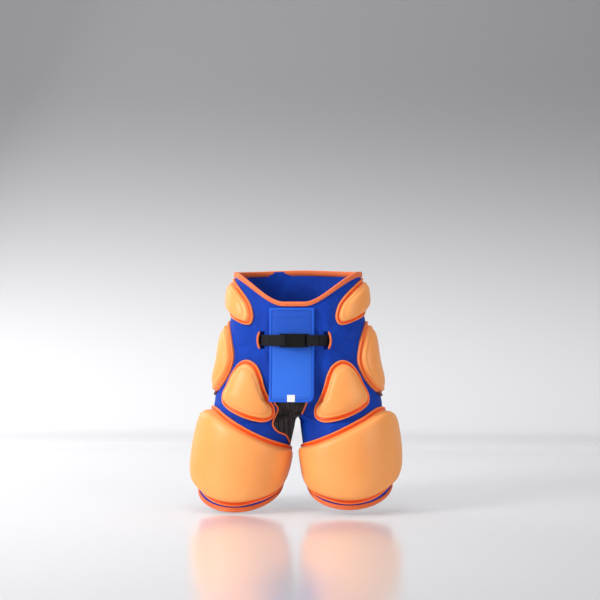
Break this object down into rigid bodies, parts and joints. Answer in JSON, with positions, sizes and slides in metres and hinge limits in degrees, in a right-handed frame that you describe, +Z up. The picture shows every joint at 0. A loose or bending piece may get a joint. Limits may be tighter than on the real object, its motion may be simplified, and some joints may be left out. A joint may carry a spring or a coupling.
{
  "type": "padded goalkeeper shorts",
  "caption": "Padded goalkeeper shorts, as worn, with moulded foam pads on waist, hips, groin and thighs, a front flap and a buckled strap.",
  "frame": {"origin": "centre of the waist opening, on the level of the pads' upper ends, where a wearer's waist holds the shorts", "axes": "+Z up along the body; the wearer faces -Y; +X is the wearer's left"},
  "size_m": [0.4963, 0.2677, 0.5595],
  "materials": {
    "shell_cloth": "satin stretch knit, royal blue",
    "gusset_cloth": "matte stretch knit, black",
    "flap_cloth": "brushed loop cloth, mid blue",
    "binding_tape": "matte stretch tape, orange",
    "webbing": "woven webbing, black",
    "buckle_plastic": "matte, black",
    "label": "woven, white, blank",
    "pad_foam": "smooth moulded foam skin, light orange"
  },
  "bodies": {
    "root": {"hip_shell": "shell_cloth", "crotch_gusset": "gusset_cloth", "waist_binding": "binding_tape", "leg_binding_right": "binding_tape", "leg_binding_left": "binding_tape", "gusset_piping_right": "binding_tape", "gusset_piping_left": "binding_tape", "slot_binding_right": "binding_tape", "slot_binding_left": "binding_tape", "front_flap": "flap_cloth", "label_tab": "label", "strap_right": "webbing", "strap_left": "webbing", "buckle_plug": "buckle_plastic", "buckle_socket": "buckle_plastic", "waist_pad_right": "pad_foam", "waist_pad_left": "pad_foam", "hip_pad_right": "pad_foam", "hip_pad_left": "pad_foam", "groin_pad_right": "pad_foam", "groin_pad_left": "pad_foam", "thigh_pad_right": "pad_foam", "thigh_pad_left": "pad_foam"}
  },
  "joints": []
}
